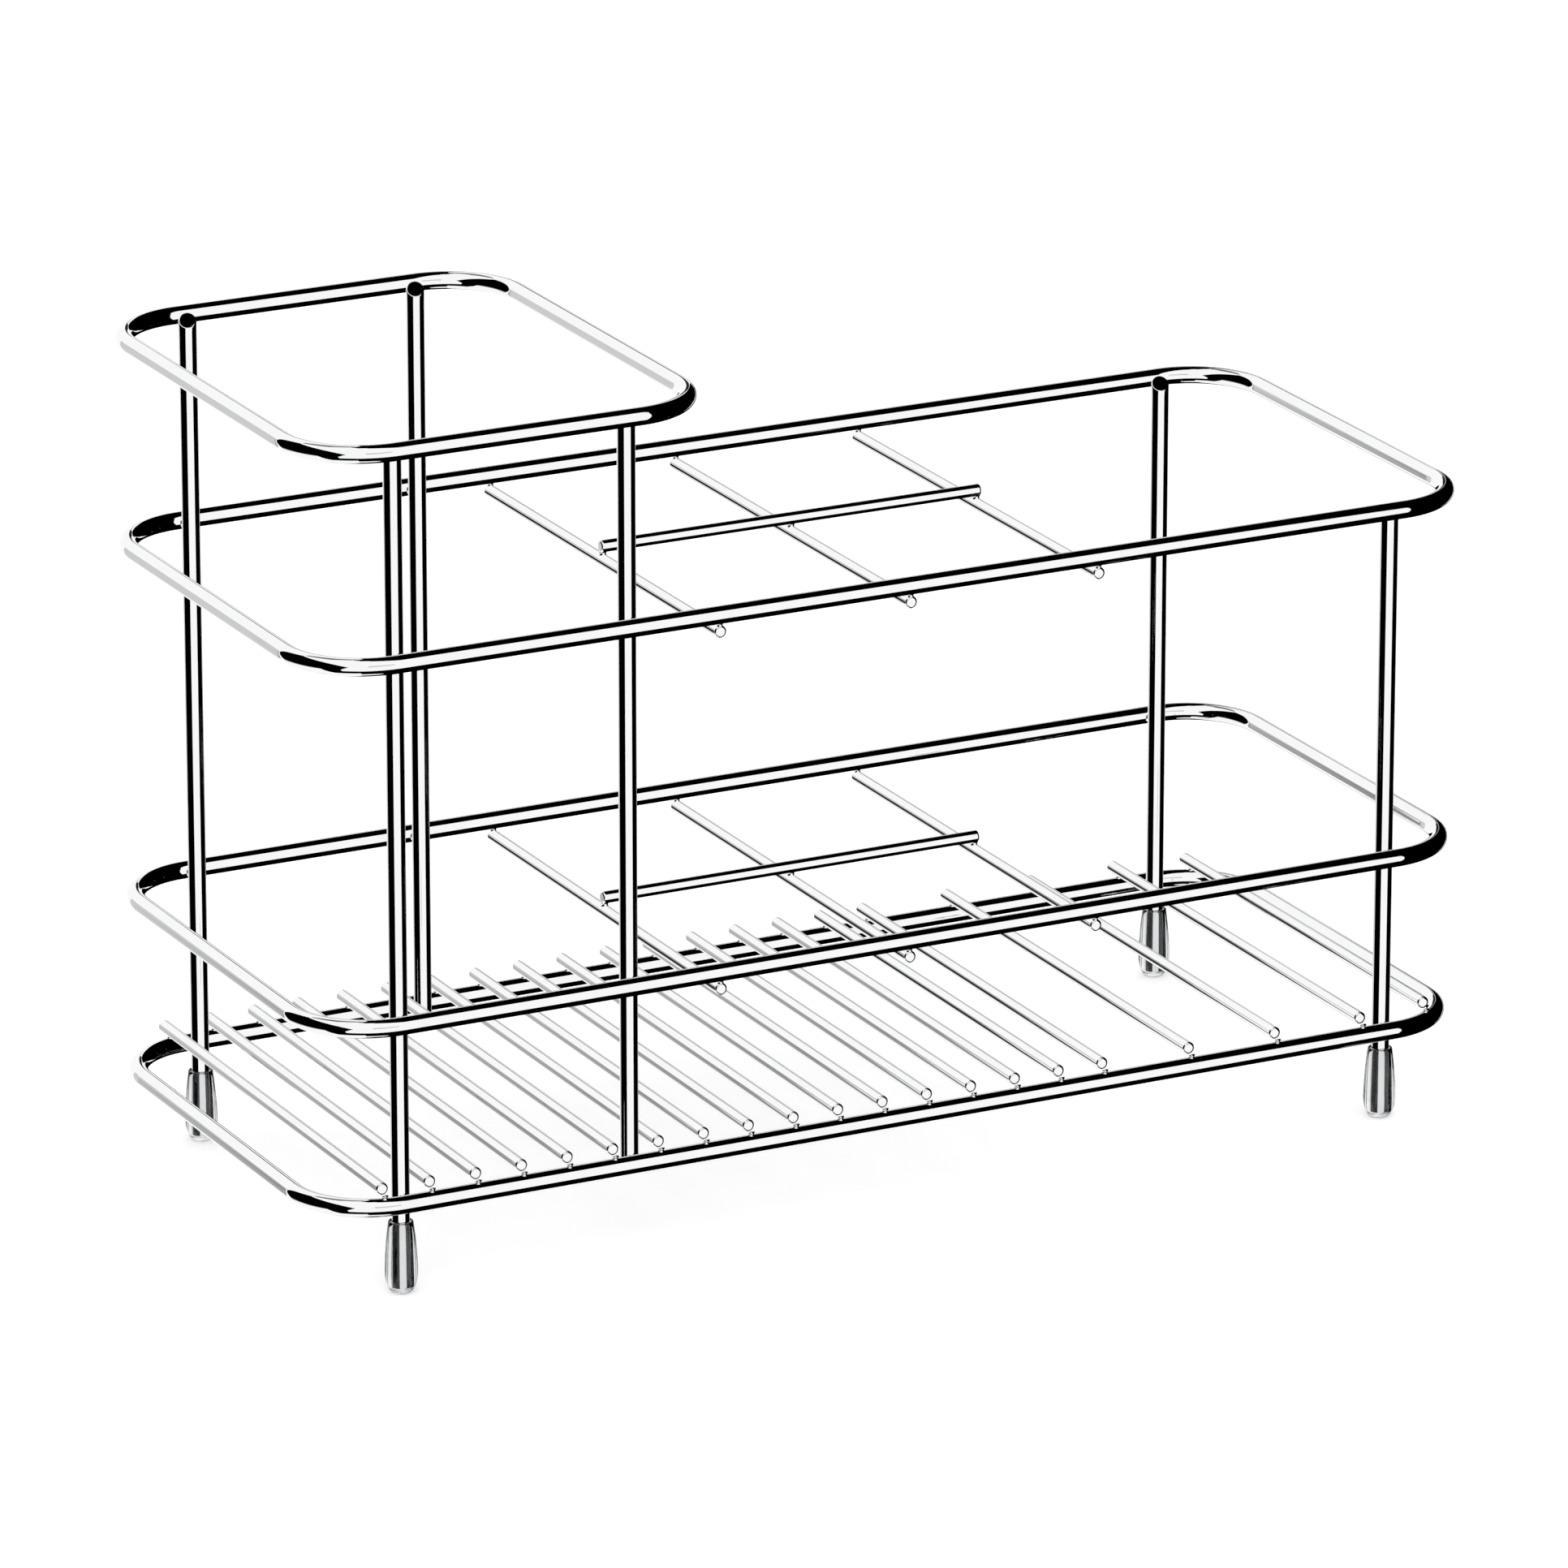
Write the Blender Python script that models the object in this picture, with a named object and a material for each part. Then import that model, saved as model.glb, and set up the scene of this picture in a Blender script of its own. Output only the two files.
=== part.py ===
"""Countertop toothbrush holder: a rack of welded, chrome-plated steel wire on four soft foot caps.

Units are metres. +X runs along the length, with the tall toothpaste bay at -X. +Y runs to the back.
+Z is up. The origin is the middle of the rack's outer box, on the surface that it stands on.
"""

import math

import bmesh
import bpy

# Wire
THICK_WIRE = 0.0032
THIN_WIRE = 0.0022
WELD_GAP = 0.0003
CUT_EDGE = 0.0003

# Rings, as rounded rectangles along the middle of their wire
RING_LENGTH = 0.224
RING_DEPTH = 0.0915
RING_CORNER_RADIUS = 0.014
TALL_RING_LENGTH = 0.0742

# Clear height from the foot caps to the base ring, then from each ring's middle to the next one's
CAPS_TO_BASE_RING = 0.0026
BASE_TO_MIDDLE_RING = 0.0326
MIDDLE_TO_UPPER_RING = 0.0649
UPPER_TO_TALL_RING = 0.0375

# Posts. Their tops are cut on a slant, which faces the rack's middle and a little to the left
POST_BEFORE_BEND = 0.0012
POST_TOP_DROP = 0.0001
POST_BOTTOM_DROP = 0.0012
POST_TOP_SLANT = math.radians(30)
POST_TOP_TURN = math.radians(20)

# Floor wires: how far apart, how clear of the posts, and how far past the ring's middle they reach
CLOSE_PITCH = 0.00874
WIDE_PITCH = 0.01745
POST_CLEARANCE = 0.0017
END_POST_CLEARANCE = 0.0058
FLOOR_FRONT_SETBACK = 0.0008
FLOOR_BACK_OVERHANG = 0.0028

# Dividers: two slots beside the tall bay, and the rest of the length is the open bay
SLOTS = 2
SLOT_PITCH = 0.0368
TALL_BAY_TO_SLOTS = 0.0008
CROSS_WIRE_OVERHANG = 0.0005
LONG_DIVIDER_OVERHANG = 0.0006

# Foot caps
CAP_HEIGHT = 0.0131
CAP_MOUTH_WALL = 0.0003
CAP_BELLY_WALL = 0.0010
CAP_BELLY_HEIGHT = 0.0040
CAP_TIP_RADIUS = 0.0012
CAP_FLOOR = 0.0009
CAP_FIT = 0.0003
CAP_TAPER_CURVE = 1.6

# Mesh fineness
WIRE_SIDES = 12
CORNER_STEPS = 8
CAP_SIDES = 16
CAP_DOME_STEPS = 5
CAP_TAPER_STEPS = 4
SAME_POINT = 0.000001

# The sharpest fold that is still shaded as a round surface
SMOOTH_ANGLE = math.radians(35)

THICK_RADIUS = THICK_WIRE / 2
THIN_RADIUS = THIN_WIRE / 2

BASE_RING_Z = CAP_HEIGHT + CAPS_TO_BASE_RING + THICK_RADIUS
MIDDLE_RING_Z = BASE_RING_Z + BASE_TO_MIDDLE_RING
UPPER_RING_Z = MIDDLE_RING_Z + MIDDLE_TO_UPPER_RING
TALL_RING_Z = UPPER_RING_Z + UPPER_TO_TALL_RING

# The floor wires pass the back of the base ring, so the rings lie a little in front of the middle.
RING_Y = -max(FLOOR_BACK_OVERHANG - THICK_RADIUS, 0.0) / 2
LEFT_X = -RING_LENGTH / 2
RIGHT_X = RING_LENGTH / 2
TALL_RIGHT_X = LEFT_X + TALL_RING_LENGTH

# The posts stand just short of the bends.
POST_INSET = RING_CORNER_RADIUS + POST_BEFORE_BEND
LEFT_POST_X = LEFT_X + POST_INSET
MIDDLE_POST_X = TALL_RIGHT_X - POST_INSET
RIGHT_POST_X = RIGHT_X - POST_INSET

CHROME_COLOUR = (0.86, 0.87, 0.88, 1.0)
VINYL_COLOUR = (0.78, 0.79, 0.80, 1.0)


def clear_scene():
    for item in list(bpy.data.objects):
        bpy.data.objects.remove(item, do_unlink=True)


def plated_steel(piece_name):
    """Bright nickel-chrome plating."""
    material = bpy.data.materials.new(piece_name + "_chrome")
    material.use_nodes = True
    shader = material.node_tree.nodes["Principled BSDF"]
    shader.inputs["Base Color"].default_value = CHROME_COLOUR
    shader.inputs["Metallic"].default_value = 1.0
    shader.inputs["Roughness"].default_value = 0.06
    return material


def clear_vinyl(piece_name):
    """Soft clear vinyl, slightly grey."""
    material = bpy.data.materials.new(piece_name + "_vinyl")
    material.use_nodes = True
    shader = material.node_tree.nodes["Principled BSDF"]
    shader.inputs["Base Color"].default_value = VINYL_COLOUR
    shader.inputs["Metallic"].default_value = 0.0
    shader.inputs["Roughness"].default_value = 0.12
    shader.inputs["Transmission Weight"].default_value = 0.8
    return material


def add_piece(name, data, material, parent, location=(0.0, 0.0, 0.0), rotation=(0.0, 0.0, 0.0)):
    data.materials.append(material)
    piece = bpy.data.objects.new(name, data)
    piece.location = location
    piece.rotation_euler = rotation
    piece.parent = parent
    bpy.context.scene.collection.objects.link(piece)
    return piece


def rounded_rectangle(left, right, front, back, radius):
    """Points round a rounded rectangle, with each corner an arc."""
    corners = (
        (right - radius, back - radius, 0.0),
        (left + radius, back - radius, math.pi / 2),
        (left + radius, front + radius, math.pi),
        (right - radius, front + radius, 3 * math.pi / 2),
    )
    points = []
    for centre_x, centre_y, start in corners:
        for step in range(CORNER_STEPS + 1):
            angle = start + (math.pi / 2) * step / CORNER_STEPS
            points.append((centre_x + radius * math.cos(angle), centre_y + radius * math.sin(angle)))
    return points


def add_ring(name, left, right, height, parent):
    """A closed ring of thick wire, bent to a rounded rectangle and butt welded."""
    path = rounded_rectangle(left, right, -RING_DEPTH / 2, RING_DEPTH / 2, RING_CORNER_RADIUS)
    curve = bpy.data.curves.new(name, "CURVE")
    curve.dimensions = "3D"
    curve.fill_mode = "FULL"
    curve.bevel_depth = THICK_RADIUS
    curve.bevel_resolution = (WIRE_SIDES - 4) // 2
    spline = curve.splines.new("POLY")
    spline.points.add(len(path) - 1)
    for point, (x, y) in zip(spline.points, path):
        point.co = (x, y, 0.0, 1.0)
    spline.use_cyclic_u = True
    return add_piece(name, curve, plated_steel(name), parent, location=(0.0, RING_Y, height))


def cut_wire_mesh(name, diameter, length, slope=(0.0, 0.0)):
    """A straight length of wire along Z, centred, with its cut edges broken.

    The slope is how steeply the top face falls along X and along Y.
    """
    shape = bmesh.new()
    bmesh.ops.create_cone(
        shape,
        cap_ends=True,
        segments=WIRE_SIDES,
        radius1=diameter / 2,
        radius2=diameter / 2,
        depth=length,
    )
    end_faces = [face for face in shape.faces if abs(face.normal.z) > 0.5]
    for vert in shape.verts:
        if vert.co.z > 0.0:
            vert.co.z -= slope[0] * vert.co.x + slope[1] * vert.co.y
    end_edges = list({edge for face in end_faces for edge in face.edges})
    bmesh.ops.bevel(
        shape,
        geom=end_edges,
        offset=CUT_EDGE,
        offset_type="OFFSET",
        segments=1,
        profile=0.5,
        affect="EDGES",
        material=-1,
    )
    mesh = bpy.data.meshes.new(name)
    shape.to_mesh(mesh)
    shape.free()
    mesh.shade_smooth()
    mesh.set_sharp_from_angle(angle=SMOOTH_ANGLE)
    return mesh


def add_upright(name, x, y, bottom, top, slope, parent):
    mesh = cut_wire_mesh(name, THICK_WIRE, top - bottom, slope)
    middle = (x, y, (bottom + top) / 2)
    return add_piece(name, mesh, plated_steel(name), parent, location=middle)


def add_wire_along_y(name, x, front, back, height, parent):
    mesh = cut_wire_mesh(name, THIN_WIRE, back - front)
    middle = (x, (front + back) / 2, height)
    turn = (math.pi / 2, 0.0, 0.0)
    return add_piece(name, mesh, plated_steel(name), parent, location=middle, rotation=turn)


def add_wire_along_x(name, left, right, y, height, parent):
    mesh = cut_wire_mesh(name, THIN_WIRE, right - left)
    middle = ((left + right) / 2, y, height)
    turn = (0.0, math.pi / 2, 0.0)
    return add_piece(name, mesh, plated_steel(name), parent, location=middle, rotation=turn)


def add_rings(parent):
    add_ring("base_ring", LEFT_X, RIGHT_X, BASE_RING_Z, parent)
    add_ring("middle_ring", LEFT_X, RIGHT_X, MIDDLE_RING_Z, parent)
    add_ring("upper_ring", LEFT_X, RIGHT_X, UPPER_RING_Z, parent)
    add_ring("tall_ring", LEFT_X, TALL_RIGHT_X, TALL_RING_Z, parent)


def post_places():
    """Each post's place in the plan: (front or back, left, middle or right) to (x, y)."""
    inward = THICK_WIRE + WELD_GAP
    columns = {"left": LEFT_POST_X, "middle": MIDDLE_POST_X, "right": RIGHT_POST_X}
    rows = {
        "front": RING_Y - RING_DEPTH / 2 + inward,
        "back": RING_Y + RING_DEPTH / 2 - inward,
    }
    return {(row, column): (columns[column], rows[row]) for column in columns for row in rows}


def add_posts(parent):
    """The uprights stand inside the rings. The outer four run on down as legs, into the foot caps."""
    tops = {"left": TALL_RING_Z, "middle": TALL_RING_Z, "right": UPPER_RING_Z}
    leg_end = CAP_FLOOR + CAP_FIT
    bottoms = {"left": leg_end, "middle": BASE_RING_Z - POST_BOTTOM_DROP, "right": leg_end}
    fall = math.tan(POST_TOP_SLANT)
    to_middle = {"front": 1.0, "back": -1.0}
    for (row, column), (x, y) in post_places().items():
        name = "post_" + row + "_" + column
        slope = (-fall * math.sin(POST_TOP_TURN), fall * math.cos(POST_TOP_TURN) * to_middle[row])
        add_upright(name, x, y, bottoms[column], tops[column] - POST_TOP_DROP, slope, parent)


def ring_half_depth(x):
    """Half the depth of a full ring's middle line at x, which shrinks round the corners."""
    into_bend = abs(x) - (RING_LENGTH / 2 - RING_CORNER_RADIUS)
    straight = RING_DEPTH / 2 - RING_CORNER_RADIUS
    reach = max(into_bend, 0.0)
    return straight + math.sqrt(max(RING_CORNER_RADIUS**2 - reach**2, 0.0))


def cross_wire_places():
    """X of each divider cross wire, from the tall bay to the open bay."""
    first = TALL_RIGHT_X + TALL_BAY_TO_SLOTS
    return [first + SLOT_PITCH * number for number in range(SLOTS + 1)]


def floor_wire_places():
    """X of each floor wire: close together up to the last slot, then wide apart in the open bay."""
    beside = THICK_RADIUS + THIN_RADIUS + POST_CLEARANCE

    bay_start = LEFT_POST_X + beside
    bay_length = MIDDLE_POST_X - beside - bay_start
    bay_steps = round(bay_length / CLOSE_PITCH)
    tall_bay = [bay_start + bay_length * step / bay_steps for step in range(bay_steps + 1)]

    slots_start = MIDDLE_POST_X + beside
    slots_steps = round((cross_wire_places()[-1] - slots_start) / CLOSE_PITCH)
    under_slots = [slots_start + CLOSE_PITCH * step for step in range(slots_steps + 1)]

    wide_start = under_slots[-1] + WIDE_PITCH
    wide_steps = int((RIGHT_POST_X - beside - wide_start) / WIDE_PITCH)
    open_bay = [wide_start + WIDE_PITCH * step for step in range(wide_steps + 1)]

    left_end = LEFT_POST_X - beside
    right_end = RIGHT_POST_X + THICK_RADIUS + THIN_RADIUS + END_POST_CLEARANCE
    return [left_end, *tall_bay, *under_slots, *open_bay, right_end]


def add_floor_wires(parent):
    """Thin wires across the top of the base ring, pushed back a little against its far side."""
    height = BASE_RING_Z + THICK_RADIUS + WELD_GAP + THIN_RADIUS
    for number, x in enumerate(floor_wire_places(), start=1):
        reach = ring_half_depth(x)
        front = RING_Y - reach + FLOOR_FRONT_SETBACK
        back = RING_Y + reach + FLOOR_BACK_OVERHANG
        add_wire_along_y("floor_wire_%02d" % number, x, front, back, height, parent)


def add_dividers(level, ring_height, parent):
    """Cross wires under a ring and one long wire on top of them, which part the brush slots."""
    cross_height = ring_height - THICK_RADIUS - WELD_GAP - THIN_RADIUS
    reach = RING_DEPTH / 2 + CROSS_WIRE_OVERHANG
    places = cross_wire_places()
    for number, x in enumerate(places, start=1):
        name = level + "_cross_wire_%d" % number
        add_wire_along_y(name, x, RING_Y - reach, RING_Y + reach, cross_height, parent)
    long_height = cross_height + THIN_WIRE + WELD_GAP
    left = places[0] - LONG_DIVIDER_OVERHANG
    right = places[-1] + LONG_DIVIDER_OVERHANG
    add_wire_along_x(level + "_long_divider", left, right, RING_Y, long_height, parent)


def cap_profile():
    """The cap's section as (radius, height), from its flat tip up the outside and down the bore."""
    bore = THICK_RADIUS + CAP_FIT
    belly = bore + CAP_BELLY_WALL
    mouth = bore + CAP_MOUTH_WALL
    outline = [(0.0, 0.0)]
    for step in range(CAP_DOME_STEPS + 1):
        angle = (math.pi / 2) * step / CAP_DOME_STEPS
        radius = CAP_TIP_RADIUS + (belly - CAP_TIP_RADIUS) * math.sin(angle)
        outline.append((radius, CAP_BELLY_HEIGHT * (1 - math.cos(angle))))
    for step in range(1, CAP_TAPER_STEPS + 1):
        share = step / CAP_TAPER_STEPS
        radius = belly + (mouth - belly) * share**CAP_TAPER_CURVE
        height = CAP_BELLY_HEIGHT + (CAP_HEIGHT - CAP_BELLY_HEIGHT) * share
        outline.append((radius, height))
    outline.append((bore, CAP_HEIGHT))
    outline.append((bore, CAP_FLOOR))
    outline.append((0.0, CAP_FLOOR))
    return outline


def foot_cap_mesh(name):
    """A turned cap: a flat tip, a domed belly, a long taper and a blind bore for the leg."""
    shape = bmesh.new()
    points = [shape.verts.new((radius, 0.0, height)) for radius, height in cap_profile()]
    edges = [shape.edges.new(pair) for pair in zip(points, points[1:])]
    bmesh.ops.spin(
        shape,
        geom=points + edges,
        cent=(0.0, 0.0, 0.0),
        axis=(0.0, 0.0, 1.0),
        angle=2 * math.pi,
        steps=CAP_SIDES,
        use_merge=True,
    )
    bmesh.ops.remove_doubles(shape, verts=shape.verts, dist=SAME_POINT)
    bmesh.ops.recalc_face_normals(shape, faces=shape.faces)
    mesh = bpy.data.meshes.new(name)
    shape.to_mesh(mesh)
    shape.free()
    mesh.shade_smooth()
    mesh.set_sharp_from_angle(angle=SMOOTH_ANGLE)
    return mesh


def add_foot_caps(parent):
    for (row, column), (x, y) in post_places().items():
        if column == "middle":
            continue
        name = "foot_cap_" + row + "_" + column
        add_piece(name, foot_cap_mesh(name), clear_vinyl(name), parent, location=(x, y, 0.0))


def build_rack():
    clear_scene()
    rack = bpy.data.objects.new("rack", None)
    bpy.context.scene.collection.objects.link(rack)
    add_rings(rack)
    add_posts(rack)
    add_floor_wires(rack)
    add_dividers("middle", MIDDLE_RING_Z, rack)
    add_dividers("upper", UPPER_RING_Z, rack)
    add_foot_caps(rack)


build_rack()
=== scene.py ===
"""The looks of a welded chrome wire toothbrush holder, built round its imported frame."""

import math

import bmesh
import bpy
from mathutils import Matrix, Vector


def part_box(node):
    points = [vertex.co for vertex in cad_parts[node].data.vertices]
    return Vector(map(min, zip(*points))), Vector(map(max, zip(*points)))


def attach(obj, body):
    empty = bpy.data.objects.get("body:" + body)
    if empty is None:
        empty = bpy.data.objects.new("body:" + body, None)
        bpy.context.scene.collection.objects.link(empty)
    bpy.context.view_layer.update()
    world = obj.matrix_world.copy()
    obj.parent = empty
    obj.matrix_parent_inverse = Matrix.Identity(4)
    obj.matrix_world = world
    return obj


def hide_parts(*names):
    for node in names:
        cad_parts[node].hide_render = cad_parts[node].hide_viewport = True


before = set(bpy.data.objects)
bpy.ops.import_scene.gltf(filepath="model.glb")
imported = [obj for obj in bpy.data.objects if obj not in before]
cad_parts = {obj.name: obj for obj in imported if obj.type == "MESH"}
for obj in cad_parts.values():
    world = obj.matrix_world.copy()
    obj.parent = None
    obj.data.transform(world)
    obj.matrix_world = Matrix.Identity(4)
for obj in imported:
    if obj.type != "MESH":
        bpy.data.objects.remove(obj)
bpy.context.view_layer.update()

# The camera stands in front of the rack, to its left and above it. A long lens from two metres
# away keeps the long wires nearly parallel in the picture.
VIEW_AZIMUTH = math.radians(26.816)
VIEW_ELEVATION = math.radians(18.634)
VIEW_DISTANCE = 2.0062
VIEW_TARGET = Vector((0.0008, 0.0041, 0.0633))
LENS_MM = 259.1
SENSOR_MM = 36.0

level_reach = math.cos(VIEW_ELEVATION)
sight = Vector((
    math.sin(VIEW_AZIMUTH) * level_reach,
    math.cos(VIEW_AZIMUTH) * level_reach,
    -math.sin(VIEW_ELEVATION),
))
camera_data = bpy.data.cameras.new("camera")
camera_data.lens = LENS_MM
camera_data.sensor_width = SENSOR_MM
camera = bpy.data.objects.new("camera", camera_data)
camera.location = VIEW_TARGET - sight * VIEW_DISTANCE
camera.rotation_euler = (math.pi / 2 - VIEW_ELEVATION, 0.0, -VIEW_AZIMUTH)
bpy.context.scene.collection.objects.link(camera)
bpy.context.scene.camera = camera
bpy.context.scene.view_settings.view_transform = "Standard"


# The studio is a pale floor under an even white sky. A large soft lamp in front of the rack gives
# the floor a faint shadow. Dark flags and grey cards are set far out, where only the chrome and the
# clear foot caps show them. They draw the black and grey bands along the wires.
FLOOR_SIZE = 30.0
FLOOR_COLOUR = (0.93, 0.93, 0.93, 1.0)
FLOOR_ROUGHNESS = 0.9
FLOOR_LIFT = 0.36
PURE_WHITE = (1.0, 1.0, 1.0, 1.0)
SKY_LEVEL = 1.0
SKY_FILL = 0.86
LAMP_PLACE = Vector((-0.9, -1.4, 1.9))
LAMP_SIZE = 1.2
LAMP_POWER = 9.0
CARD_DISTANCE = 3.5
CARD_CENTRE = Vector((0.0, 0.0, 0.07))
CARD_COLUMNS = 24


def link_stage(name, mesh, material):
    """Puts a finished mesh in the studio as a thing that isn't part of the rack."""
    mesh.materials.append(material)
    item = bpy.data.objects.new(name, mesh)
    bpy.context.scene.collection.objects.link(item)
    return item


def floor_finish():
    """Pale matt paper, lifted a little for the camera so that it meets the white sky."""
    material = bpy.data.materials.new("pale_paper")
    material.use_nodes = True
    shader = material.node_tree.nodes["Principled BSDF"]
    shader.inputs["Base Color"].default_value = FLOOR_COLOUR
    shader.inputs["Roughness"].default_value = FLOOR_ROUGHNESS
    shader.inputs["Specular IOR Level"].default_value = 0.0
    shader.inputs["Emission Color"].default_value = PURE_WHITE
    shader.inputs["Emission Strength"].default_value = FLOOR_LIFT
    return material


def card_light():
    """A card's own even light, as bright as the level of its points. It lights nothing else."""
    material = bpy.data.materials.new("card_light")
    material.use_nodes = True
    nodes = material.node_tree.nodes
    links = material.node_tree.links
    nodes.remove(nodes["Principled BSDF"])
    level = nodes.new("ShaderNodeAttribute")
    level.attribute_name = "level"
    light = nodes.new("ShaderNodeEmission")
    links.new(level.outputs["Fac"], light.inputs["Strength"])
    links.new(light.outputs[0], nodes["Material Output"].inputs["Surface"])
    return material


card_material = card_light()


def card(name, levels, *rows):
    """A card on a far sphere. Each row gives an elevation and the azimuths of its two edges there.

    The levels are how bright it is at the first and at the last edge: 0 is black, 1 is white.
    """
    shape = bmesh.new()
    bmesh.ops.create_grid(shape, x_segments=CARD_COLUMNS, y_segments=len(rows) - 1, size=0.5)
    level = shape.verts.layers.float.new("level")
    for vert in shape.verts:
        elevation, first, last = rows[round((vert.co.y + 0.5) * (len(rows) - 1))]
        share = vert.co.x + 0.5
        vert[level] = levels[0] + (levels[1] - levels[0]) * share
        turn = math.radians(first + (last - first) * share)
        lift = math.radians(elevation)
        across = math.cos(lift)
        out = Vector((math.sin(turn) * across, math.cos(turn) * across, math.sin(lift)))
        vert.co = CARD_CENTRE + out * CARD_DISTANCE
    mesh = bpy.data.meshes.new(name)
    shape.to_mesh(mesh)
    shape.free()
    item = link_stage(name, mesh, card_material)
    item.visible_camera = False
    item.visible_diffuse = False
    item.visible_volume_scatter = False
    item.visible_shadow = False
    return item


def chrome_card(name, levels, *rows):
    """A card that shows in the chrome and not through the foot caps."""
    item = card(name, levels, *rows)
    item.visible_transmission = False
    return item


def cap_card(name, levels, *rows):
    """A card that shows only through the clear foot caps."""
    item = card(name, levels, *rows)
    item.visible_glossy = False
    return item


floor_shape = bmesh.new()
bmesh.ops.create_grid(floor_shape, x_segments=1, y_segments=1, size=FLOOR_SIZE / 2)
floor_mesh = bpy.data.meshes.new("floor")
floor_shape.to_mesh(floor_mesh)
floor_shape.free()
floor = link_stage("floor", floor_mesh, floor_finish())
floor.visible_glossy = False
floor.visible_transmission = False

world = bpy.data.worlds.new("white_sky")
bpy.context.scene.world = world
world.use_nodes = True
sky_nodes = world.node_tree.nodes
sky_links = world.node_tree.links
background = sky_nodes["Background"]
rays = sky_nodes.new("ShaderNodeLightPath")
seen = sky_nodes.new("ShaderNodeMath")
seen.operation = "MAXIMUM"
seen_through = sky_nodes.new("ShaderNodeMath")
seen_through.operation = "MAXIMUM"
sky_level = sky_nodes.new("ShaderNodeMapRange")
sky_level.inputs["To Min"].default_value = SKY_FILL
sky_level.inputs["To Max"].default_value = SKY_LEVEL
sky_links.new(rays.outputs["Is Camera Ray"], seen.inputs[0])
sky_links.new(rays.outputs["Is Glossy Ray"], seen.inputs[1])
sky_links.new(seen.outputs[0], seen_through.inputs[0])
sky_links.new(rays.outputs["Is Transmission Ray"], seen_through.inputs[1])
sky_links.new(seen_through.outputs[0], sky_level.inputs["Value"])
background.inputs["Color"].default_value = PURE_WHITE
sky_links.new(sky_level.outputs[0], background.inputs["Strength"])

lamp_data = bpy.data.lights.new("soft_lamp", "AREA")
lamp_data.shape = "SQUARE"
lamp_data.size = LAMP_SIZE
lamp_data.energy = LAMP_POWER
lamp = bpy.data.objects.new("soft_lamp", lamp_data)
lamp.location = LAMP_PLACE
lamp.rotation_euler = (VIEW_TARGET - LAMP_PLACE).to_track_quat("-Z", "Y").to_euler()
lamp.visible_glossy = False
bpy.context.scene.collection.objects.link(lamp)

BLACK = (0.0, 0.0)
NEARLY_BLACK = (0.02, 0.02)
TABLE_EDGE_LEVELS = (0.35, 0.35)
OVERHEAD_LEVELS = (0.15, 0.15)

chrome_card(
    "right_flag", BLACK,
    (-34, 62, 146.5), (-18, 60, 148), (5, 36, 147.5), (28, 32.5, 146),
)
chrome_card("right_low_flag", BLACK, (-34, 20, 62), (-2, 20, 42))
chrome_card(
    "top_flag", BLACK,
    (28, 23, 146), (44, 23, 139.5), (50, 23, 138), (55, 22, 138),
    (60, 20, 138), (66, 14, 138), (72, 10, 138), (86, 0, 132),
)
chrome_card(
    "left_flag", BLACK,
    (-25, -128, -36), (-18, -128, -36), (12, -138, -35.5), (35, -116, -35.5), (50, -65, -38),
)
chrome_card("low_flag", BLACK, (-78, 20, 210), (-33.8, 20, 210))
chrome_card("low_left_flag", BLACK, (-62, -150, -100), (-33, -150, -100))
chrome_card("left_edge_flag", BLACK, (-33, -128, -100), (-25, -128, -100))
chrome_card("table_edge_card", TABLE_EDGE_LEVELS, (-30, -100, -34), (-25, -100, -36))
chrome_card("overhead_card", OVERHEAD_LEVELS, (53, -30, 22), (70, -30, 10))
chrome_card("small_flag", NEARLY_BLACK, (13, 22.5, 33), (20.5, 22.5, 33))

# Grey cards at the back give the wires that run front to back their soft lower band. The light of
# the middle pair is kept from the wires in the rack's own shade, which show a dark line instead.
BACK_LEVELS = (0.64, 0.64)
BACK_EDGE_LEVELS = (0.2, 0.6)

chrome_card(
    "back_card", BACK_LEVELS,
    (-7.5, -30.6, -18.2), (-6, -31, -18.5), (0, -32, -20), (8, -32.8, -22),
)
chrome_card(
    "back_edge_card", BACK_EDGE_LEVELS,
    (-7.5, -33.2, -30.6), (-6, -33.3, -31), (0, -33.8, -32), (8, -34.5, -32.8),
)
chrome_card("lowest_back_card", BACK_LEVELS, (-30, -11, -4), (-23.5, -20.5, -9.7))
chrome_card("lowest_edge_card", BACK_EDGE_LEVELS, (-30, -19, -11), (-23.5, -27, -20.5))
middle_cards = (
    chrome_card(
        "middle_back_card", BACK_LEVELS,
        (-23.5, -20.5, -9.7), (-18.5, -25.8, -13), (-7.5, -30.6, -18.2),
    ),
    chrome_card(
        "middle_edge_card", BACK_EDGE_LEVELS,
        (-23.5, -27, -20.5), (-18.5, -31, -25.8), (-7.5, -33.2, -30.6),
    ),
)
shaded_wires = bpy.data.collections.new("shaded_wires")
for middle_card in middle_cards:
    middle_card.light_linking.receiver_collection = shaded_wires

# Cards at the front do the same for a view from behind. Their light is kept from all the thin
# wires that run front to back, so these show a dark line where the rings show a grey strip.
WHITE = (1.0, 1.0)
FRONT_LEVELS = (0.7, 0.55)

front_cards = (
    chrome_card("front_card", FRONT_LEVELS, (14, 164, 198), (27, 164, 198)),
    chrome_card("front_right_card", WHITE, (10, 150, 164), (26, 150, 164)),
    chrome_card("front_left_card", WHITE, (10, 198, 210), (26, 198, 210)),
)
front_to_back_wires = bpy.data.collections.new("front_to_back_wires")
for front_card in front_cards:
    front_card.light_linking.receiver_collection = front_to_back_wires

# The clear caps bend what is behind them into their middle and what is beside them into their
# edges, so they have dark flags of their own at both sides and a narrow one at the back.
CAP_EDGE_LEVELS = (0.05, 0.05)

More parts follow.
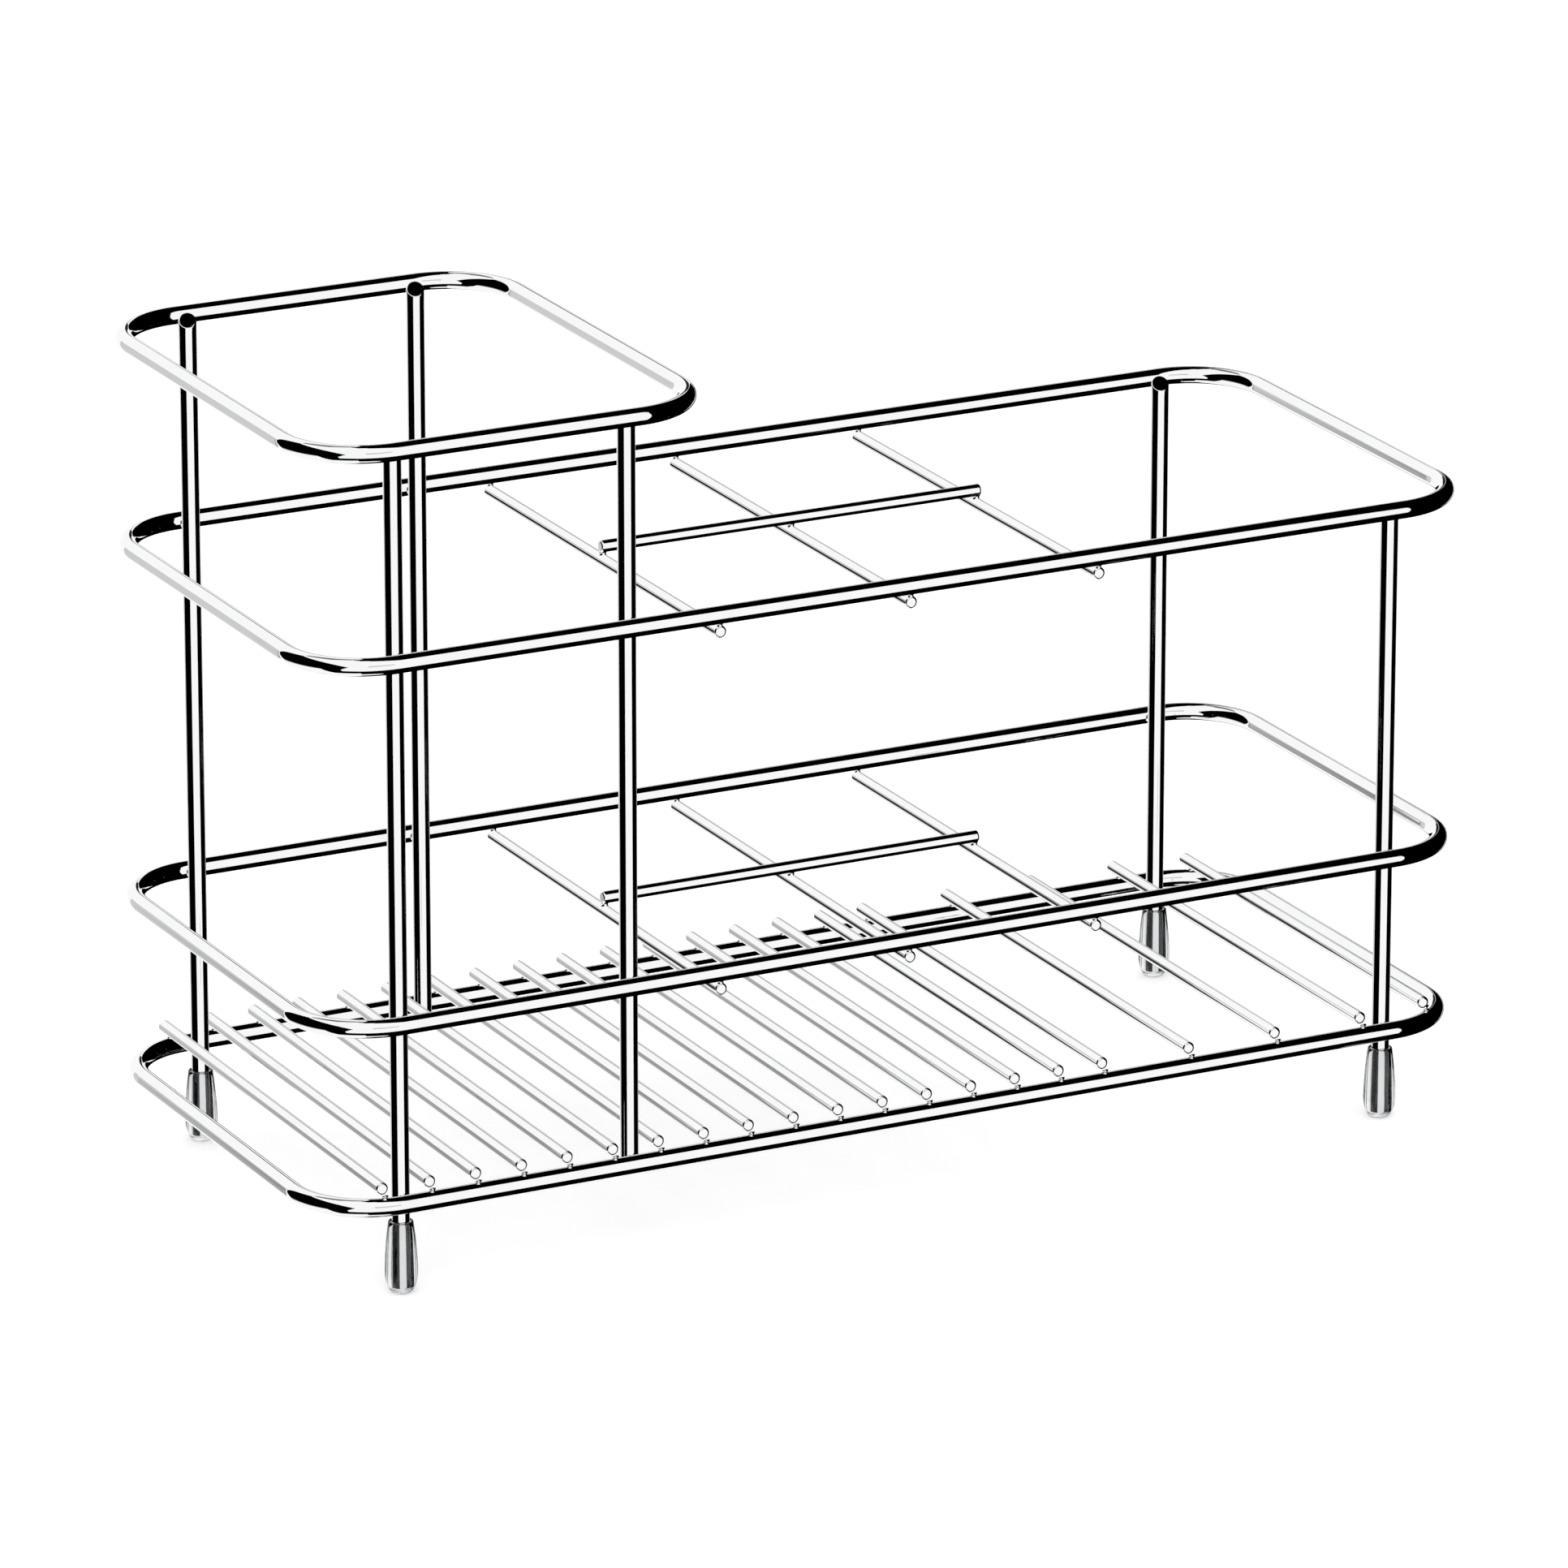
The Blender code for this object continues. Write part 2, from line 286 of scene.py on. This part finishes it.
cap_card("cap_left_flag", BLACK, (-70, -138, -46), (5, -138, -46))
cap_card("cap_right_flag", BLACK, (-70, 50, 149), (-18, 50, 149), (20, 50, 149))
cap_card("cap_edge_flag", CAP_EDGE_LEVELS, (-70, 7, 18), (0, 7, 18))


# The rings are thick steel wire, bent to rounded rectangles and butt welded into closed loops.
# The whole rack is nickel and chrome plated after welding, so every wire shares one bright skin.
RING_CORNER_RADIUS = 0.014
WIRE_SIDES = 48
CORNER_STEPS = 24
BEND_MARGIN = 0.0004
SAME_POINT = 0.000002
HAZE_SCALE = 140.0
HAZE_DETAIL = 4.0
MARKS_SCALE = 1800.0
MARKS_DETAIL = 2.0
RIPPLE_SCALE = 95.0
RIPPLE_DETAIL = 1.0
CHROME_BRIGHT = (0.955, 0.957, 0.96, 1.0)
CHROME_HAZED = (0.9, 0.905, 0.915, 1.0)
PLATING_RELIEF = 0.000006


def surface_noise(nodes, links, scale, detail):
    """A fine pattern fixed to the piece, which the finish of its surface follows."""
    place = nodes.new("ShaderNodeTexCoord")
    pattern = nodes.new("ShaderNodeTexNoise")
    pattern.inputs["Scale"].default_value = scale
    pattern.inputs["Detail"].default_value = detail
    links.new(place.outputs["Object"], pattern.inputs["Vector"])
    return pattern.outputs["Fac"]


def combined(nodes, links, operation, first, second):
    """Two values of a finish multiplied or added."""
    step = nodes.new("ShaderNodeMath")
    step.operation = operation
    links.new(first, step.inputs[0])
    links.new(second, step.inputs[1])
    return step.outputs[0]


def plating_group():
    """What bright plating shows up close: a faint haze, hairline polishing marks and soft ripples."""
    group = bpy.data.node_groups.new("bright_plating", "ShaderNodeTree")
    sockets = group.interface
    for name in ("Haze", "Marks", "Ripple"):
        sockets.new_socket(name=name, in_out="INPUT", socket_type="NodeSocketFloat")
    sockets.new_socket(name="Color", in_out="OUTPUT", socket_type="NodeSocketColor")
    sockets.new_socket(name="Roughness", in_out="OUTPUT", socket_type="NodeSocketFloat")
    sockets.new_socket(name="Height", in_out="OUTPUT", socket_type="NodeSocketFloat")
    nodes = group.nodes
    links = group.links
    given = nodes.new("NodeGroupInput")
    result = nodes.new("NodeGroupOutput")
    haze = surface_noise(nodes, links, HAZE_SCALE, HAZE_DETAIL)
    marks = surface_noise(nodes, links, MARKS_SCALE, MARKS_DETAIL)
    ripple = surface_noise(nodes, links, RIPPLE_SCALE, RIPPLE_DETAIL)

    haze_part = combined(nodes, links, "MULTIPLY", haze, given.outputs["Haze"])
    marks_part = combined(nodes, links, "MULTIPLY", marks, given.outputs["Marks"])
    roughness = combined(nodes, links, "ADD", haze_part, marks_part)
    links.new(roughness, result.inputs["Roughness"])

    tint = nodes.new("ShaderNodeMix")
    tint.data_type = "RGBA"
    tint.inputs["A"].default_value = CHROME_BRIGHT
    tint.inputs["B"].default_value = CHROME_HAZED
    links.new(haze, tint.inputs["Factor"])
    links.new(tint.outputs["Result"], result.inputs["Color"])

    height = combined(nodes, links, "MULTIPLY", ripple, given.outputs["Ripple"])
    links.new(height, result.inputs["Height"])
    return group


bright_plating = plating_group()


def plated(name, haze, marks, ripple):
    """A chrome material with its own share of haze, marks and ripple."""
    material = bpy.data.materials.new(name)
    material.use_nodes = True
    nodes = material.node_tree.nodes
    links = material.node_tree.links
    shader = nodes["Principled BSDF"]
    shader.inputs["Metallic"].default_value = 1.0
    skin = nodes.new("ShaderNodeGroup")
    skin.node_tree = bright_plating
    skin.inputs["Haze"].default_value = haze
    skin.inputs["Marks"].default_value = marks
    skin.inputs["Ripple"].default_value = ripple
    bump = nodes.new("ShaderNodeBump")
    bump.inputs["Distance"].default_value = PLATING_RELIEF
    links.new(skin.outputs["Color"], shader.inputs["Base Color"])
    links.new(skin.outputs["Roughness"], shader.inputs["Roughness"])
    links.new(skin.outputs["Height"], bump.inputs["Height"])
    links.new(bump.outputs["Normal"], shader.inputs["Normal"])
    return material


def finish_piece(name, shape, materials, slot, *stands_for):
    """Turns a finished bmesh into a piece of the rack. Wires show the studio, not each other."""
    mesh = bpy.data.meshes.new(name)
    shape.to_mesh(mesh)
    shape.free()
    mesh.shade_smooth()
    for material in materials:
        mesh.materials.append(material)
    piece = bpy.data.objects.new(name, mesh)
    bpy.context.scene.collection.objects.link(piece)
    piece.visible_glossy = False
    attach(piece, "root")
    if stands_for:
        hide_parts(*stands_for)
    return piece


def bent_ring(node):
    """A round wire carried round a rounded rectangle: straight, bend, straight, bend, and so on."""
    low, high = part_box(node)
    radius = (high.z - low.z) / 2
    left = low.x + radius
    right = high.x - radius
    front = low.y + radius
    back = high.y - radius
    height = (low.z + high.z) / 2
    bend = RING_CORNER_RADIUS
    shape = bmesh.new()
    start = Matrix.Translation((left + bend, front, height)) @ Matrix.Rotation(math.pi / 2, 4, "Y")
    bmesh.ops.create_circle(shape, segments=WIRE_SIDES, radius=radius, matrix=start)
    rim = list(shape.edges)
    sides = (
        (Vector((right - left - 2 * bend, 0, 0)), (right - bend, front + bend, height)),
        (Vector((0, back - front - 2 * bend, 0)), (right - bend, back - bend, height)),
        (Vector((left - right + 2 * bend, 0, 0)), (left + bend, back - bend, height)),
        (Vector((0, front - back + 2 * bend, 0)), (left + bend, front + bend, height)),
    )
    for run, bend_centre in sides:
        margin = run.normalized() * BEND_MARGIN
        for move in (margin, run - 2 * margin, margin):
            grown = bmesh.ops.extrude_edge_only(shape, edges=rim)["geom"]
            ends = [part for part in grown if isinstance(part, bmesh.types.BMVert)]
            rim = [part for part in grown if isinstance(part, bmesh.types.BMEdge)]
            bmesh.ops.translate(shape, verts=ends, vec=move)
        turned = bmesh.ops.spin(
            shape,
            geom=ends + rim,
            cent=bend_centre,
            axis=(0, 0, 1),
            angle=math.pi / 2,
            steps=CORNER_STEPS,
        )["geom_last"]
        rim = [part for part in turned if isinstance(part, bmesh.types.BMEdge)]
    bmesh.ops.remove_doubles(shape, verts=shape.verts, dist=SAME_POINT)
    bmesh.ops.recalc_face_normals(shape, faces=shape.faces)
    return shape


thick_chrome = plated("thick_wire_chrome", haze=0.03, marks=0.03, ripple=1.0)
for ring in ("base_ring", "middle_ring", "upper_ring", "tall_ring"):
    finish_piece(ring + "_wire", bent_ring(ring), [thick_chrome], "chrome_wire", ring)


# The posts are straight lengths of the same thick wire. The outer four run down as legs. Their tops
# are cut on a slant that faces the middle of the rack, and the cut edges are rounded by tumbling.
POST_EDGE = 0.0002
POST_TOP_DROP = 0.0001
POST_TOP_SLANT = math.radians(30)
POST_TOP_TURN = math.radians(20)
EDGE_STEPS = 5
END_MARGIN = 0.0001


def wire_line(node):
    """A straight wire as its middle, the unit vector along it, its radius and its length."""
    low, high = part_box(node)
    extent = high - low
    along = max(range(3), key=lambda axis: extent[axis])
    direction = Vector([1.0 if axis == along else 0.0 for axis in range(3)])
    return (low + high) / 2, direction, extent[(along + 1) % 3] / 2, extent[along]


def straight_wire(line, edge, sides, slope=(0.0, 0.0)):
    """A straight length of wire with round cut edges. A post's top falls along X and Y by its slope."""
    middle, direction, radius, length = line
    shape = bmesh.new()
    bmesh.ops.create_cone(
        shape,
        cap_ends=True,
        segments=sides,
        radius1=radius,
        radius2=radius,
        depth=length,
    )
    for vert in shape.verts:
        if vert.co.z > 0:
            vert.co.z -= slope[0] * vert.co.x + slope[1] * vert.co.y
    rims = [rim for rim in shape.edges if rim.verts[0].co.z * rim.verts[1].co.z > 0]
    bmesh.ops.bevel(
        shape,
        geom=rims,
        offset=edge,
        offset_type="OFFSET",
        affect="EDGES",
        segments=EDGE_STEPS,
        profile=0.5,
        material=-1,
    )
    below_edge = edge + END_MARGIN
    fall = radius * math.hypot(*slope)
    for level in (below_edge - length / 2, length / 2 - below_edge - 2 * fall):
        bmesh.ops.bisect_plane(
            shape,
            geom=shape.verts[:] + shape.edges[:] + shape.faces[:],
            dist=SAME_POINT,
            plane_co=(0, 0, level),
            plane_no=(0, 0, 1),
        )
    ends = [face for face in shape.faces if len(face.verts) > 4]
    bmesh.ops.inset_individual(shape, faces=ends, thickness=END_MARGIN)
    turn = Vector((0, 0, 1)).rotation_difference(direction).to_matrix().to_4x4()
    bmesh.ops.transform(shape, matrix=Matrix.Translation(middle) @ turn, verts=shape.verts)
    bmesh.ops.recalc_face_normals(shape, faces=shape.faces)
    return shape


def post_line(node):
    """A post's axis, from its foot to the middle of its slanted top, just below its last ring's."""
    middle, direction, radius, length = wire_line(node)
    last_ring = "upper_ring" if "right" in node else "tall_ring"
    top = wire_line(last_ring)[0].z - POST_TOP_DROP
    foot = middle.z - length / 2
    return Vector((middle.x, middle.y, (foot + top) / 2)), direction, radius, top - foot


for node in sorted(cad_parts):
    if node.startswith("post_"):
        fall = math.tan(POST_TOP_SLANT)
        to_middle = -1.0 if "back" in node else 1.0
        slope = (-fall * math.sin(POST_TOP_TURN), fall * math.cos(POST_TOP_TURN) * to_middle)
        post = straight_wire(post_line(node), POST_EDGE, WIRE_SIDES, slope)
        finish_piece(node + "_wire", post, [thick_chrome], "chrome_wire", node)


# Each post is resistance welded to the inside of every ring it passes. The squeezed metal leaves a
# small waisted neck between the two wires, which the plating covers with the rest.
POST_WELD_WAIST = 0.001
POST_WELD_FLARE = 0.0003
TOP_WELD_WAIST = 0.0005
TOP_WELD_FLARE = 0.0002
TOP_WELD_DROP = 0.0008
WELD_SINK = 0.00003
WELD_SIDES = 20
WELD_ROWS = 6
POST_COLUMNS = ("left", "middle", "right")


def ring_crossing(node, x, side):
    """Where a ring's front or back run is at a given length, the way it runs there, and its radius."""
    low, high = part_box(node)
    radius = (high.z - low.z) / 2
    middle_y = (low.y + high.y) / 2
    half_depth = (high.y - low.y) / 2 - radius
    bend_start = (low.x + radius + RING_CORNER_RADIUS, high.x - radius - RING_CORNER_RADIUS)
    into_bend = min(x - bend_start[0], 0.0) + max(x - bend_start[1], 0.0)
    reach = math.sqrt(RING_CORNER_RADIUS**2 - into_bend**2)
    run_y = middle_y + side * (half_depth - RING_CORNER_RADIUS + reach)
    place = Vector((x, run_y, (low.z + high.z) / 2))
    direction = Vector((reach, -side * into_bend, 0.0)).normalized()
    return place, direction, radius


def add_weld(shape, first, second, waist, flare):
    """A waisted neck from one wire to the wire that crosses it, its ends sunk just inside both."""
    place_a, along_a, radius_a = first
    place_b, along_b, radius_b = second
    normal = along_a.cross(along_b).normalized()
    if normal.dot(place_b - place_a) < 0:
        normal = -normal
    apart = normal.dot(place_b - place_a)
    across_a = normal.cross(along_a)
    across_b = normal.cross(along_b)
    off_centre = (place_a - place_b).dot(across_b)
    neck = bmesh.new()
    bmesh.ops.create_cone(
        neck,
        cap_ends=True,
        segments=WELD_SIDES,
        radius1=1.0,
        radius2=1.0,
        depth=1.0,
    )
    walls = [wall for wall in neck.edges if wall.verts[0].co.z * wall.verts[1].co.z < 0]
    bmesh.ops.subdivide_edges(neck, edges=walls, cuts=WELD_ROWS - 1)
    for vert in neck.verts:
        share = vert.co.z + 0.5
        reach = waist + flare * (2 * share - 1) ** 2
        level = (1 - math.cos(math.pi * share)) / 2
        beside = along_a * (vert.co.x * reach) + across_a * (vert.co.y * reach)
        from_a = math.sqrt(radius_a**2 - beside.dot(across_a) ** 2) - WELD_SINK
        from_b = apart - math.sqrt(radius_b**2 - (beside.dot(across_b) + off_centre) ** 2) + WELD_SINK
        vert.co = place_a + beside + normal * (from_a + (from_b - from_a) * level)
    loose = bpy.data.meshes.new("weld")
    neck.to_mesh(loose)
    neck.free()
    shape.from_mesh(loose)
    bpy.data.meshes.remove(loose)


def crossing_on(line, x=None, y=None, z=None):
    """The point of a straight wire's axis at one given coordinate, with its direction and radius."""
    place, direction, radius = line[:3]
    moved = place.copy()
    for axis, value in enumerate((x, y, z)):
        if value is not None:
            moved[axis] = value
    return moved, direction, radius


post_welds = bmesh.new()
for side_name, side in (("front", -1), ("back", 1)):
    for column in POST_COLUMNS:
        upright = wire_line("post_" + side_name + "_" + column)
        rings = ["base_ring", "middle_ring", "upper_ring"]
        if column != "right":
            rings.append("tall_ring")
        for ring in rings:
            ring_line = ring_crossing(ring, upright[0].x, side)
            if ring == rings[-1]:
                below_cut = crossing_on(upright, z=ring_line[0].z - TOP_WELD_DROP)
                add_weld(post_welds, below_cut, ring_line, TOP_WELD_WAIST, TOP_WELD_FLARE)
            else:
                post_here = crossing_on(upright, z=ring_line[0].z)
                add_weld(post_welds, post_here, ring_line, POST_WELD_WAIST, POST_WELD_FLARE)
bmesh.ops.recalc_face_normals(post_welds, faces=post_welds.faces)
finish_piece("post_welds", post_welds, [thick_chrome], "chrome_wire")


# The floor is a row of thin wires laid across the base ring, close together under the tall bay and
# the brush slots and wider apart under the open bay. Each is spot welded at both ends, and its
# cut ends are tumbled round.
THIN_EDGE = 0.00035
THIN_SIDES = 32
THIN_WELD_WAIST = 0.0005
THIN_WELD_FLARE = 0.00015
FIRST_SHADED_WIRE = "floor_wire_16"

thin_chrome = plated("thin_wire_chrome", haze=0.04, marks=0.03, ripple=1.0)
floor_welds = bmesh.new()
for node in sorted(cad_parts):
    if node.startswith("floor_wire_"):
        floor_line = wire_line(node)
        wire = straight_wire(floor_line, THIN_EDGE, THIN_SIDES)
        wire_piece = finish_piece(node + "_wire", wire, [thin_chrome], "chrome_wire", node)
        front_to_back_wires.objects.link(wire_piece)
        if node >= FIRST_SHADED_WIRE:
            shaded_wires.objects.link(wire_piece)
        for side in (-1, 1):
            ring_line = ring_crossing("base_ring", floor_line[0].x, side)
            wire_here = crossing_on(floor_line, y=ring_line[0].y)
            add_weld(floor_welds, wire_here, ring_line, THIN_WELD_WAIST, THIN_WELD_FLARE)
bmesh.ops.recalc_face_normals(floor_welds, faces=floor_welds.faces)
finish_piece("floor_welds", floor_welds, [thin_chrome], "chrome_wire")


# The dividers are the same thin wire: cross wires welded under the upper and middle rings, and one
# long wire on top of them at each level, which parts the brush slots front from back.
LONG_WELD_WAIST = 0.0006
LONG_WELD_FLARE = 0.00015

divider_welds = bmesh.new()
for level in ("middle", "upper"):
    long_node = level + "_long_divider"
    long_line = wire_line(long_node)
    long_wire = straight_wire(long_line, THIN_EDGE, THIN_SIDES)
    finish_piece(long_node + "_wire", long_wire, [thin_chrome], "chrome_wire", long_node)
    crossing_nodes = [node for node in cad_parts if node.startswith(level + "_cross_wire_")]
    for node in sorted(crossing_nodes):
        cross_line = wire_line(node)
        cross_wire = straight_wire(cross_line, THIN_EDGE, THIN_SIDES)
        cross_piece = finish_piece(node + "_wire", cross_wire, [thin_chrome], "chrome_wire", node)
        shaded_wires.objects.link(cross_piece)
        front_to_back_wires.objects.link(cross_piece)
        for side in (-1, 1):
            ring_line = ring_crossing(level + "_ring", cross_line[0].x, side)
            wire_here = crossing_on(cross_line, y=ring_line[0].y)
            add_weld(divider_welds, wire_here, ring_line, THIN_WELD_WAIST, THIN_WELD_FLARE)
        wire_here = crossing_on(cross_line, y=long_line[0].y)
        long_here = crossing_on(long_line, x=cross_line[0].x)
        add_weld(divider_welds, wire_here, long_here, LONG_WELD_WAIST, LONG_WELD_FLARE)
bmesh.ops.recalc_face_normals(divider_welds, faces=divider_welds.faces)
finish_piece("divider_welds", divider_welds, [thin_chrome], "chrome_wire")
for wires in (shaded_wires, front_to_back_wires):
    for member in wires.collection_objects:
        member.light_linking.link_state = "EXCLUDE"


# The foot caps are soft clear vinyl, dip moulded and pushed onto the legs, with a thick round toe
# that keeps the rack from sliding and marking the counter. A film of air stays round the leg, and
# light bounces inside the clear wall, so a cap does show in its own reflections.
CAP_SIDES = 64
CAP_AIR = 0.0001
CAP_LIP_WALL = 0.0005
CAP_TOE_RADIUS = 0.0012
CAP_BELLY_HEIGHT = 0.0040
CAP_TAPER_CURVE = 1.6
CAP_FLOOR = 0.0009
CAP_BORE_ROUND = 0.0005
CAP_BORE_STEPS = 6
CAP_BORE_WALL_STEPS = 12
CAP_DOME_STEPS = 12
CAP_TAPER_STEPS = 12
CAP_LIP_STEPS = 8
VINYL_CLEAR = (0.9, 0.905, 0.91, 1.0)
VINYL_CLOUDED = (0.84, 0.85, 0.86, 1.0)
VINYL_IOR = 1.5
VINYL_POLISHED = 0.02
VINYL_RUBBED = 0.09
VINYL_WAVE = 0.00003
CLOUD_SCALE = 260.0
CLOUD_DETAIL = 2.0
RUBBED_SCALE = 900.0
RUBBED_DETAIL = 3.0


def clear_vinyl():
    """Clear vinyl with a faint grey cloudiness, and a skin that is slightly wavy and rubbed."""
    material = bpy.data.materials.new("clear_vinyl")
    material.use_nodes = True
    nodes = material.node_tree.nodes
    links = material.node_tree.links
    shader = nodes["Principled BSDF"]
    shader.inputs["Transmission Weight"].default_value = 1.0
    shader.inputs["IOR"].default_value = VINYL_IOR
    cloud = surface_noise(nodes, links, CLOUD_SCALE, CLOUD_DETAIL)
    rubbed = surface_noise(nodes, links, RUBBED_SCALE, RUBBED_DETAIL)
    colour = nodes.new("ShaderNodeMix")
    colour.data_type = "RGBA"
    colour.inputs["A"].default_value = VINYL_CLEAR
    colour.inputs["B"].default_value = VINYL_CLOUDED
    links.new(cloud, colour.inputs["Factor"])
    links.new(colour.outputs["Result"], shader.inputs["Base Color"])
    roughness = nodes.new("ShaderNodeMapRange")
    roughness.inputs["To Min"].default_value = VINYL_POLISHED
    roughness.inputs["To Max"].default_value = VINYL_RUBBED
    links.new(rubbed, roughness.inputs["Value"])
    links.new(roughness.outputs["Result"], shader.inputs["Roughness"])
    wave = nodes.new("ShaderNodeBump")
    wave.inputs["Distance"].default_value = VINYL_WAVE
    links.new(cloud, wave.inputs["Height"])
    links.new(wave.outputs["Normal"], shader.inputs["Normal"])
    return material


def cap_shape(node, leg_radius):
    """A turned cap round its leg: flat toe, domed belly, long taper, a round lip and a blind bore."""
    low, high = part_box(node)
    belly = (high.x - low.x) / 2
    height = high.z - low.z
    bore = leg_radius + CAP_AIR
    lip = CAP_LIP_WALL / 2
    mouth = bore + CAP_LIP_WALL
    lip_height = height - lip
    profile = [(0.0, 0.0)]
    for step in range(CAP_DOME_STEPS + 1):
        angle = (math.pi / 2) * step / CAP_DOME_STEPS
        across = CAP_TOE_RADIUS + (belly - CAP_TOE_RADIUS) * math.sin(angle)
        profile.append((across, CAP_BELLY_HEIGHT * (1 - math.cos(angle))))
    for step in range(1, CAP_TAPER_STEPS):
        share = step / CAP_TAPER_STEPS
        across = belly + (mouth - belly) * share**CAP_TAPER_CURVE
        profile.append((across, CAP_BELLY_HEIGHT + (lip_height - CAP_BELLY_HEIGHT) * share))
    for step in range(CAP_LIP_STEPS + 1):
        angle = math.pi * step / CAP_LIP_STEPS
        profile.append((bore + lip + lip * math.cos(angle), lip_height + lip * math.sin(angle)))
    wall_foot = CAP_FLOOR + CAP_BORE_ROUND
    for step in range(1, CAP_BORE_WALL_STEPS):
        profile.append((bore, lip_height + (wall_foot - lip_height) * step / CAP_BORE_WALL_STEPS))
    for step in range(CAP_BORE_STEPS + 1):
        angle = (math.pi / 2) * step / CAP_BORE_STEPS
        inward = CAP_BORE_ROUND * (1 - math.cos(angle))
        profile.append((bore - inward, wall_foot - CAP_BORE_ROUND * math.sin(angle)))
    profile.append((0.0, CAP_FLOOR))
    shape = bmesh.new()
    points = [shape.verts.new((across, 0.0, up)) for across, up in profile]
    lines = [shape.edges.new(pair) for pair in zip(points, points[1:])]
    bmesh.ops.spin(
        shape,
        geom=points + lines,
        cent=(0, 0, 0),
        axis=(0, 0, 1),
        angle=2 * math.pi,
        steps=CAP_SIDES,
        use_merge=True,
    )
    bmesh.ops.remove_doubles(shape, verts=shape.verts, dist=SAME_POINT)
    bmesh.ops.recalc_face_normals(shape, faces=shape.faces)
    middle = (low + high) / 2
    bmesh.ops.translate(shape, vec=(middle.x, middle.y, low.z), verts=shape.verts)
    return shape


vinyl = clear_vinyl()
for node in sorted(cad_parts):
    if node.startswith("foot_cap_"):
        leg_radius = wire_line(node.replace("foot_cap", "post"))[2]
        cap = finish_piece(node + "_vinyl", cap_shape(node, leg_radius), [vinyl], "clear_vinyl", node)
        cap.visible_glossy = True
